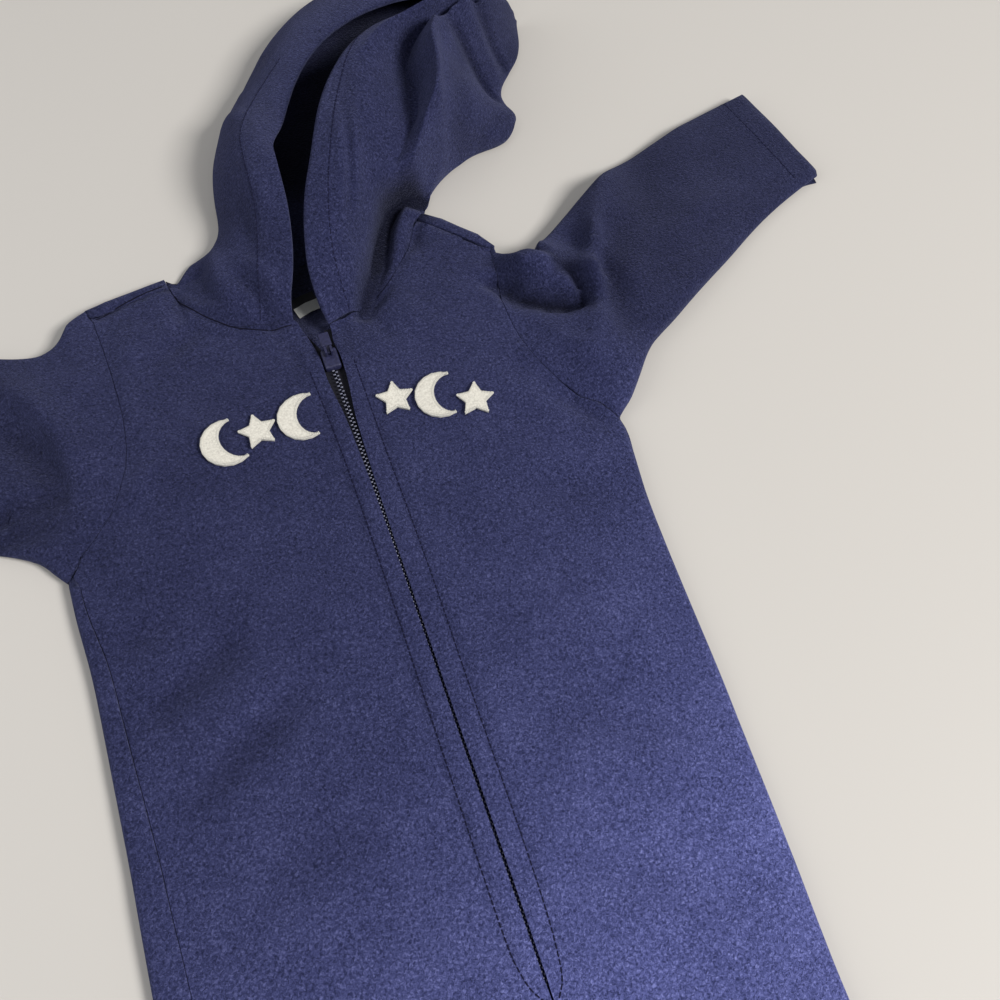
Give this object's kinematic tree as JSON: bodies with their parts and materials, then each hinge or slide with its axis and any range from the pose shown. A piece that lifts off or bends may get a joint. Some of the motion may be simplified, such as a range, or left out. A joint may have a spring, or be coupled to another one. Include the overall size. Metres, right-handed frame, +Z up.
{
  "type": "hooded onesie pajama",
  "caption": "Hooded navy fleece one-piece pajama for a toddler, zipped in front and laid flat on its back, sleeves spread and hood turned aside.",
  "frame": {"origin": "on the floor under the zip slider, on the underside of the back", "axes": "+Z up off the floor, +Y to the wearer's head, +X to the wearer's left"},
  "size_m": [0.6516, 0.882, 0.0642],
  "materials": {
    "navy_fleece": "soft pebbled micro-fleece with a faint pale nap",
    "zip_tape": "tight woven tape",
    "zip_plastic": "moulded, slightly glossy",
    "cream_felt": "felt with satin-stitched edges",
    "label_cloth": "smooth woven ribbon, blank"
  },
  "bodies": {
    "root": {"back": "navy_fleece", "front_right": "navy_fleece", "front_left": "navy_fleece", "sleeve_right": "navy_fleece", "sleeve_left": "navy_fleece", "hood_right": "navy_fleece", "hood_left": "navy_fleece", "zip_tape_right": "zip_tape", "zip_tape_left": "zip_tape", "zip_slider": "zip_plastic", "neck_label": "label_cloth", "moon_1": "cream_felt", "star_2": "cream_felt", "moon_3": "cream_felt", "star_4": "cream_felt", "moon_5": "cream_felt", "star_6": "cream_felt"},
    "pull_tab": {"pull_tab": "zip_plastic"}
  },
  "joints": [
    {"name": "tab_hinge", "type": "hinge", "parent": "root", "child": "pull_tab", "pos_m": [0, 0.003, 0.0122], "axis": [1, 0, 0], "range_deg": [0, 165]}
  ]
}
